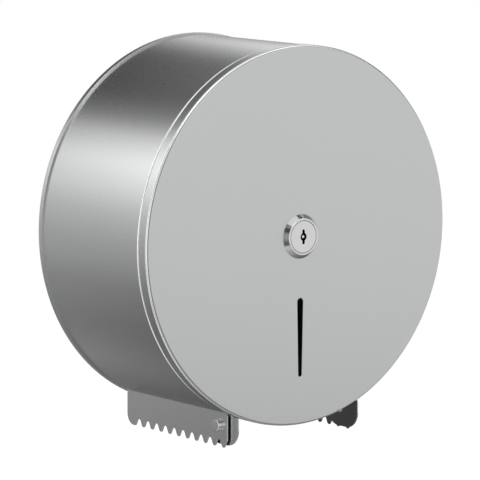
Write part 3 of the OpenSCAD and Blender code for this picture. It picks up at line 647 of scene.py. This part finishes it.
ear = {"outer": 52.4, "thickness": 1, "front": 121.15, "back": 89.15, "low": -138.1, "top": -117.8,
       "frontRadius": 12, "backRadius": 11.5, "cornerRadius": 1.3, "neckBack": 99.1, "neckFront": 112,
       "neckRadius": 0.3, "shoulderRadius": 0.5, "tabLow": -106.59, "tabTop": -92.59, "tabCorner": 0.05,
       "tabRadius": 1, "bendRadius": 2, "tabWidth": 16, "softEdge": 0.16, "bendSteps": 10, "cornerSteps": 14}


def makeEar(v, side):
    # the pivoting plate with its notch, and the tab that is welded behind the cover: a bent loop of X and
    # height carried up from its lower end
    f, r, t, neck, tab = v["front"], v["bendRadius"], v["thickness"], v["neckRadius"], v["tabCorner"]
    corners = [(f, v["low"]), (f, v["top"]), (v["neckFront"], v["top"]), (v["neckFront"], v["tabLow"]),
               (f - r, v["tabLow"]), (f - r, v["tabTop"]), (v["neckBack"], v["tabTop"]),
               (v["neckBack"], v["top"]), (v["back"], v["top"]), (v["back"], v["low"])]
    radii = [v["frontRadius"], v["cornerRadius"], neck, neck, tab, tab, v["tabRadius"], neck,
             v["shoulderRadius"], v["backRadius"]]
    a = np.linspace(np.pi, np.pi / 2, v["bendSteps"])
    bends = [np.stack([v["outer"] - r - k * np.cos(a), f - r + k * np.sin(a)], -1) for k in (r, r - t)]
    end = v["outer"] - v["tabWidth"]
    loop = np.concatenate([bends[0], [(end, f), (end, f - t)], bends[1][::-1]])
    z = np.array([v["tabLow"], v["tabTop"]])[:, None]
    plate = softPlate(roundCorners(corners, radii, v["cornerSteps"]), v, side)
    return plate + closedTube(points(side * loop[:, 0], -loop[:, 1], z))


addPiece("coverRing", makeCoverRing(coverRing), drumSteel, "front_cover", "cover_rim")
addPiece("coverDisc", makeCoverDisc(coverDisc), coverFace, "front_cover", "cover_disc")
for side, label in sides:
    addPiece("hingeEar_" + label, makeEar(ear, side), bladeSteel, "front_cover",
             "hinge_ear_" + label)


# lock

lock = {"base": 122.05, "top": 125.3, "baseRadius": 15, "topRadius": 12.6, "boreRadius": 11.08,
        "boreFloor": 122.57, "barrelRadius": 10, "barrelFlats": 8.5, "barrelEnd": 105, "barrelBore": 7.08,
        "softEdge": 0.1, "rimRadius": 0.5, "rimDrop": 0.2, "footWidth": 0.05, "footHeight": 0.12,
        "softSteps": 6, "rimSteps": 7, "steps": 144}


def angleSet(count, extra=()):
    # equal angles once round, and the given ones among them
    even = np.linspace(0, 2 * np.pi, count, endpoint=False)
    return np.unique(np.round(np.concatenate([even, np.asarray(extra) % (2 * np.pi)]), 9))


def makeLockBody(v):
    # collar and threaded barrel as one turned wall; a flat on each side of the barrel cuts its radius down to
    # the flat's distance divided by the sine of the angle
    a, k, rim, soft = angleSet(v["steps"]), quarterTurn(v["softSteps"])[::-1], v["rimRadius"], v["softEdge"]
    flats = np.minimum(v["barrelRadius"], v["barrelFlats"] / np.maximum(np.abs(np.sin(a)), tiny))
    slope = math.atan2(v["baseRadius"] - v["topRadius"], v["top"] - v["rimDrop"] - v["base"])
    turn, centre = np.linspace(np.pi / 2, slope, v["rimSteps"]), v["topRadius"] - rim * math.cos(slope)
    rings = list(zip(v["boreRadius"] + soft - soft * np.sin(k), v["top"] - soft + soft * np.cos(k)))
    rings += list(zip(centre + rim * np.cos(turn), v["top"] - rim + rim * np.sin(turn)))
    rings += [(v["baseRadius"] - v["footWidth"], v["base"] + v["footHeight"]), (v["baseRadius"], v["base"]),
              (flats, v["base"]), (flats, v["barrelEnd"]), (v["barrelBore"], v["barrelEnd"]),
              (v["barrelBore"], v["boreFloor"]), (v["boreRadius"], v["boreFloor"])]
    return [patch(ringWall(rings, a), True, True)]


plug = {"top": 125.25, "headLow": 122.65, "headRadius": 10.78, "bodyRadius": 7, "bodyEnd": 105, "tailHalf": 4,
        "tailEnd": 102.9, "keyRadius": 2.6, "slitHalf": 1.05, "slitReach": 3.95, "keyFloor": 116.25,
        "softEdge": 0.1, "rimEdge": 0.1, "softSteps": 5, "steps": 192}


def makeLockPlug(v):
    # rings from the keyhole's floor up its wall, over the face and head, and down the body to the square
    # tail; the keyhole's radius is the larger of its circle's and its slit's, and the slit has round ends
    junction, cap = math.asin(v["slitHalf"] / v["keyRadius"]), math.atan2(v["slitHalf"], v["slitReach"])
    a = angleSet(v["steps"], [s * k + o for s in (1, -1) for k in (junction, cap) for o in (0, math.pi)])
    s, c = np.maximum(np.abs(np.sin(a)), tiny), np.abs(np.cos(a))
    capRadius = v["slitReach"] * c + np.sqrt(np.maximum(v["slitHalf"] ** 2 - (v["slitReach"] * s) ** 2, 0))
    inCap = s / np.maximum(c, tiny) < v["slitHalf"] / v["slitReach"]
    key = np.maximum(v["keyRadius"], np.where(inCap, capRadius, v["slitHalf"] / s))
    square = v["tailHalf"] / np.maximum(s, c)
    soft, rim, top, head = v["softEdge"], v["rimEdge"], v["top"], v["headRadius"]
    q = quarterTurn(v["softSteps"])
    rings = [(0, v["keyFloor"]), (key, v["keyFloor"])]
    rings += [(key + soft * (1 - np.cos(k)), top - soft + soft * np.sin(k)) for k in q]
    rings += [(head - rim + rim * np.sin(k), top - rim + rim * np.cos(k)) for k in q]
    rings += [(head, v["headLow"]), (v["bodyRadius"], v["headLow"]), (v["bodyRadius"], v["bodyEnd"]),
              (square, v["bodyEnd"]), (square, v["tailEnd"]), (0, v["tailEnd"])]
    return [patch(ringWall(rings, a), False, True)]


pin = {"radius": 1.1, "foot": 116.3, "shoulder": 124.6, "tip": 125.0, "domePower": 0.35, "domeSteps": 9,
       "steps": 40}


def makeGuidePin(v):
    # a slim pin with a domed end, where the radius falls as a low power of the cosine and the height rises
    # as the sine
    q = quarterTurn(v["domeSteps"])
    height = v["shoulder"] + (v["tip"] - v["shoulder"]) * np.sin(q)
    dome = np.stack([v["radius"] * np.cos(q) ** v["domePower"], height], -1)
    dome[-1, 0] = 0  # the tip is on the axis
    profile = np.concatenate([[(0, v["foot"]), (v["radius"], v["foot"])], dome])
    return [patch(turned(profile[None], fullTurn(v["steps"])), True)]


addPiece("lockCollar", makeLockBody(lock), collarChrome, "front_cover", "lock_housing")
addPiece("lockPlug", makeLockPlug(plug), plugChrome, "lock_core", "lock_plug")
addPiece("guidePin", makeGuidePin(pin), brightSteel, "lock_core", "guide_pin")
for name in ("lock_washer", "lock_nut", "lock_cam", "cam_washer", "cam_screw"):
    smoothCopy(name)
print("cover and lock made")


# stage: lengths are metres from here on

def seenDirect(tree):
    # 1 for rays from the camera and for those off metal or through glass
    path = addNode(tree, "LightPath").outputs
    first = mathNode(tree, "MAXIMUM", path["Is Camera Ray"], path["Is Glossy Ray"])
    return mathNode(tree, "MAXIMUM", first, path["Is Transmission Ray"])


def addCard(name, centre, right, up, width, height, material):
    right, up, centre = Vector(right).normalized(), Vector(up).normalized(), Vector(centre)
    corners = [centre + right * (sx * width / 2) + up * (sy * height / 2)
               for sx, sy in ((-1, -1), (1, -1), (1, 1), (-1, 1))]
    mesh = bpy.data.meshes.new(name)
    mesh.from_pydata([c[:] for c in corners], [], [(0, 1, 2, 3)])
    mesh.materials.append(material)
    plane = bpy.data.objects.new(name, mesh)
    scene.collection.objects.link(plane)
    return plane


# pale floor paper: shaded as paper for soft light, and lifted to white where it is seen directly
paper = {"z": -2.6, "size": 30, "color": (0.8, 0.8, 0.8), "roughness": 0.9, "specular": 0.1, "lift": 0.44}


def paperMaterial(name, v):
    mat, tree, shader = newMaterial(name, v, 0)
    shader.inputs["Specular IOR Level"].default_value = v["specular"]
    shader.inputs["Emission Color"].default_value = (1, 1, 1, 1)
    lift = mathNode(tree, "MULTIPLY", seenDirect(tree), v["lift"])
    tree.links.new(lift, shader.inputs["Emission Strength"])
    return mat


addCard("floorPaper", (0, 0, paper["z"]), (1, 0, 0), (0, 1, 0), paper["size"], paper["size"],
        paperMaterial("floorPaper", paper))


def addSteelOnly(name, centre, right, up, width, height, material):
    # a card that shows in the metal alone, and neither lights nor shades anything else
    flag = addCard(name, centre, right, up, width, height, material)
    for hidden in ("visible_camera", "visible_shadow", "visible_diffuse", "visible_transmission"):
        setattr(flag, hidden, False)


def glowMaterial(name):
    mat = bpy.data.materials.new(name)
    mat.use_nodes = True
    tree = mat.node_tree
    tree.nodes.clear()
    glow = addNode(tree, "Emission")
    addNode(tree, "OutputMaterial", {"Surface": glow.outputs[0]})
    return mat, tree, glow.inputs


def toneRamp(tree, along, stops):
    # greys at places from 0 to 1, with an eased change between them
    node = addNode(tree, "ValToRGB", {"Fac": along})
    node.color_ramp.interpolation = "EASE"
    elements = node.color_ramp.elements
    while len(elements) < len(stops):
        elements.new(0.5)
    for element, (place, tone) in zip(elements, stops):
        element.position = place
    for element, (place, tone) in zip(elements, stops):
        element.color = (tone, tone, tone, 1)
    return node.outputs["Color"]


# a graded card behind the object: its tone changes with the angle in degrees about the drum's axis
card = {"y": 0.5, "size": 1.9, "middle": 0.57, "lean": 4.5, "least": 0.3, "gain": 1.7,
        "tones": [(0, 0.14), (12, 0.05), (24, 0.30), (38, 1.25), (52, 0.66), (66, 0.20), (84, 0.16),
                  (104, 0.12), (118, 0.26), (132, 1.12), (144, 1.60), (156, 1.28), (172, 0.82), (192, 0.53),
                  (216, 0.315), (240, 0.23), (264, 0.255), (288, 0.155), (310, 0.09), (336, 0.34)]}


def sweptGlow(name, v):
    # tone times 1 + lean * z * (1 - middle / r), so that it rises outwards above the axis and falls
    # outwards below it; a ramp's tones end at 1, so they are divided by the gain that the strength puts back
    mat, tree, glow = glowMaterial(name)
    at = apartNode(tree, objectPlace(tree))
    flat = addNode(tree, "CombineXYZ", {"X": at["X"], "Y": at["Z"]}).outputs[0]
    sweep = addNode(tree, "TexGradient", {"Vector": flat}, gradient_type="RADIAL").outputs["Fac"]
    stops = sorted(((angle / 360 + 0.5) % 1, tone / v["gain"]) for angle, tone in v["tones"])
    ends = 0.5 * (stops[0][1] + stops[-1][1])
    tree.links.new(toneRamp(tree, sweep, [(0, ends)] + stops + [(1, ends)]), glow["Color"])
    nearer = mathNode(tree, "DIVIDE", v["middle"], mathNode(tree, "SQRT", axisSquare(tree, at)))
    rising = mathNode(tree, "MULTIPLY", at["Z"], mathNode(tree, "SUBTRACT", 1.0, nearer))
    leaning = mathNode(tree, "MULTIPLY_ADD", rising, v["lean"], 1.0)
    strength = mathNode(tree, "MULTIPLY", mathNode(tree, "MAXIMUM", leaning, v["least"]), v["gain"])
    tree.links.new(strength, glow["Strength"])
    return mat


def gradedGlow(name, axis, tones):
    # tones at places along one axis, with a smooth change between them
    mat, tree, glow = glowMaterial(name)
    low, high = tones[0][0], tones[-1][0]
    along = rangeNode(tree, apartNode(tree, objectPlace(tree))[axis], low, high, 0, 1)
    stops = [((place - low) / (high - low), tone) for place, tone in tones]
    tree.links.new(toneRamp(tree, along, stops), glow["Color"])
    return mat


addSteelOnly("backCard", (0, card["y"], 0), (1, 0, 0), (0, 0, 1), card["size"], card["size"],
             sweptGlow("gradedCard", card))

# soft strips arch over the front from the left to the upper right, and light the rounded edges: each has
# its direction from the object, its width and height, and its radiance
arch = {"distance": 1.9, "target": (0, -0.1, 0),
        "strips": [("leftStrip", (-0.56, -0.82, -0.02), 0.55, 0.9, 0.7),
                   ("topStrip", (-0.14, -0.72, 0.66), 1.0, 0.45, 2.6),
                   ("rightStrip", (0.50, -0.46, 0.72), 0.7, 0.34, 2.4),
                   ("sideStrip", (-0.95, -0.06, 0.26), 0.45, 1.7, 1.0)]}
for name, way, width, height, radiance in arch["strips"]:
    light = bpy.data.lights.new(name, "AREA")
    light.shape = "RECTANGLE"
    light.size, light.size_y = width, height
    light.energy = radiance * math.pi * width * height
    lamp = bpy.data.objects.new(name, light)
    scene.collection.objects.link(lamp)
    lamp.location = Vector(way).normalized() * arch["distance"]
    lamp.rotation_mode = "QUATERNION"
    lamp.rotation_quaternion = (Vector(arch["target"]) - lamp.location).to_track_quat("-Z", "Y")
    lamp.visible_camera = False

# grey flags that only the metal sees, round the object: each has its middle, its two directions, its width
# and height, and its tone at places along one axis
flags = [("floorFlag", (0.649, -0.813, -0.72), (0.774, 0.6185, 0), (0.6185, -0.774, 0), 3.2, 2.5,
          "X", [(-0.9, 0.85), (-0.48, 0.75), (-0.155, 0.51), (0.094, 0.39), (0.338, 0.34), (0.63, 0.26),
                (1.5, 0.26)]),
         ("rightFlag", (1.4, -0.16, 1.12), (0, 1, 0), (0, 0, 1), 1.17, 1.96, "Z", [(0, 0.10), (2, 0.10)]),
         ("rightLow", (1.5, 0.5, -0.525), (0, 1, 0), (0, 0, 1), 1.6, 0.39, "Z", [(-0.7, 0.08), (0, 0.08)]),
         ("topFlag", (0.86, 0.0, 1.3), (1, 0, 0), (0, 1, 0), 0.80, 0.75,
          "X", [(0.46, 0.10), (0.6, 0.03), (1.2, 0.03)]),
         ("cornerFlag", (-0.90, -0.52, 0.69), (0.519, 0.087, 0.85), (-0.404, 0.9, 0.155), 0.72, 0.4,
          "Z", [(0.3, 0.12), (0.6, 0.02), (1.1, 0.06)]),
         ("leftFlag", (-0.65, -0.44, -0.01), (0.45, -0.89, 0), (0, 0, 1), 0.26, 1.34,
          "Z", [(-0.64, 0.5), (-0.57, 0.08), (-0.43, 0.10), (-0.31, 0.2), (-0.1, 0.40), (0.06, 0.42),
                (0.17, 0.32), (0.26, 0.05), (0.50, 0.03), (0.60, 0.3), (0.66, 0.9)])]
for name, centre, right, up, width, height, axis, tones in flags:
    addSteelOnly(name, centre, right, up, width, height, gradedGlow(name, axis, tones))

# the world: white where it is seen, and a plain grey level of light on the object
surround = {"seen": 1, "lit": 0.75}
world = bpy.data.worlds.new("studio")
scene.world = world
world.use_nodes = True
sky = world.node_tree
sky.nodes.clear()
seen, lit = [addNode(sky, "Background", {"Color": (1, 1, 1, 1), "Strength": surround[part]}).outputs[0]
             for part in ("seen", "lit")]
mix = addNode(sky, "MixShader", {0: seenDirect(sky), 1: lit, 2: seen})
addNode(sky, "OutputWorld", {"Surface": mix.outputs[0]})
scene.view_settings.view_transform = "Standard"
print("stage set")

# camera
view = {"place": (-1.4266, -1.8637, 0.3114), "yaw": 38.289, "pitch": -7.939, "roll": 0.069, "lens": 254.56,
        "sensor": 36, "near": 0.05, "far": 60}
camData = bpy.data.cameras.new("camera")
camData.lens, camData.sensor_width = view["lens"], view["sensor"]
camData.clip_start, camData.clip_end = view["near"], view["far"]
cam = bpy.data.objects.new("camera", camData)
scene.collection.objects.link(cam)
cam.location = view["place"]
yaw, pitch, roll = (math.radians(view[turn]) for turn in ("yaw", "pitch", "roll"))
forward = Vector((math.sin(yaw) * math.cos(pitch), math.cos(yaw) * math.cos(pitch), math.sin(pitch)))
cam.rotation_mode = "QUATERNION"
cam.rotation_quaternion = forward.to_track_quat("-Z", "Y") @ Quaternion((0, 0, 1), roll)
scene.camera = cam

print("scene ready")
